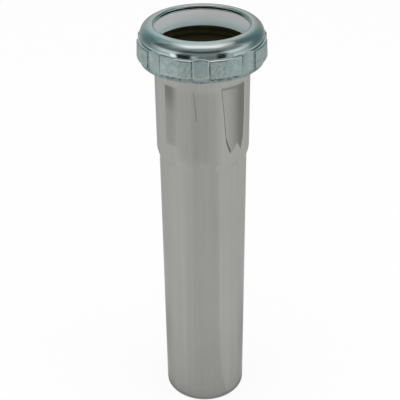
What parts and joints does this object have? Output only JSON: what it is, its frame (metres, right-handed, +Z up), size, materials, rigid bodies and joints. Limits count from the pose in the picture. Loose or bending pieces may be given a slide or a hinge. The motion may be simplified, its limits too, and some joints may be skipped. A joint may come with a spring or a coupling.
{
  "type": "basin waste tail pipe",
  "caption": "Straight plated tail pipe with a belled slip-joint socket, a domed slip nut and a tapered sealing washer, joining a basin waste to its trap.",
  "frame": {"origin": "middle of the pipe's cut lower end", "axes": "+Z up along the pipe towards the slip nut, one slot of the nut facing -Y"},
  "size_m": [0.0448, 0.0448, 0.1585],
  "materials": {
    "plated_brass": "polished chrome plate outside, bare brass inside",
    "cast_zinc": "satin cast zinc with a pale blue-green passivation, bright on the crown",
    "white_plastic": "milky moulded polyethylene"
  },
  "bodies": {
    "pipe": {"tail_pipe": "plated_brass"},
    "washer": {"slip_washer": "white_plastic"},
    "nut": {"slip_nut": "cast_zinc"}
  },
  "joints": [
    {"name": "nut_turn", "type": "hinge", "parent": "pipe", "child": "washer", "pos_m": [0, 0, 0.1524], "axis": [0, 0, 1], "range_deg": [0, 900]},
    {"name": "nut_rise", "type": "slide", "parent": "washer", "child": "nut", "axis": [0, 0, 1], "range_m": [0, 0.00552]}
  ],
  "couplings": [
    {"joint": "nut_rise", "follows": "nut_turn", "m_per_rad": 0.00035157}
  ]
}
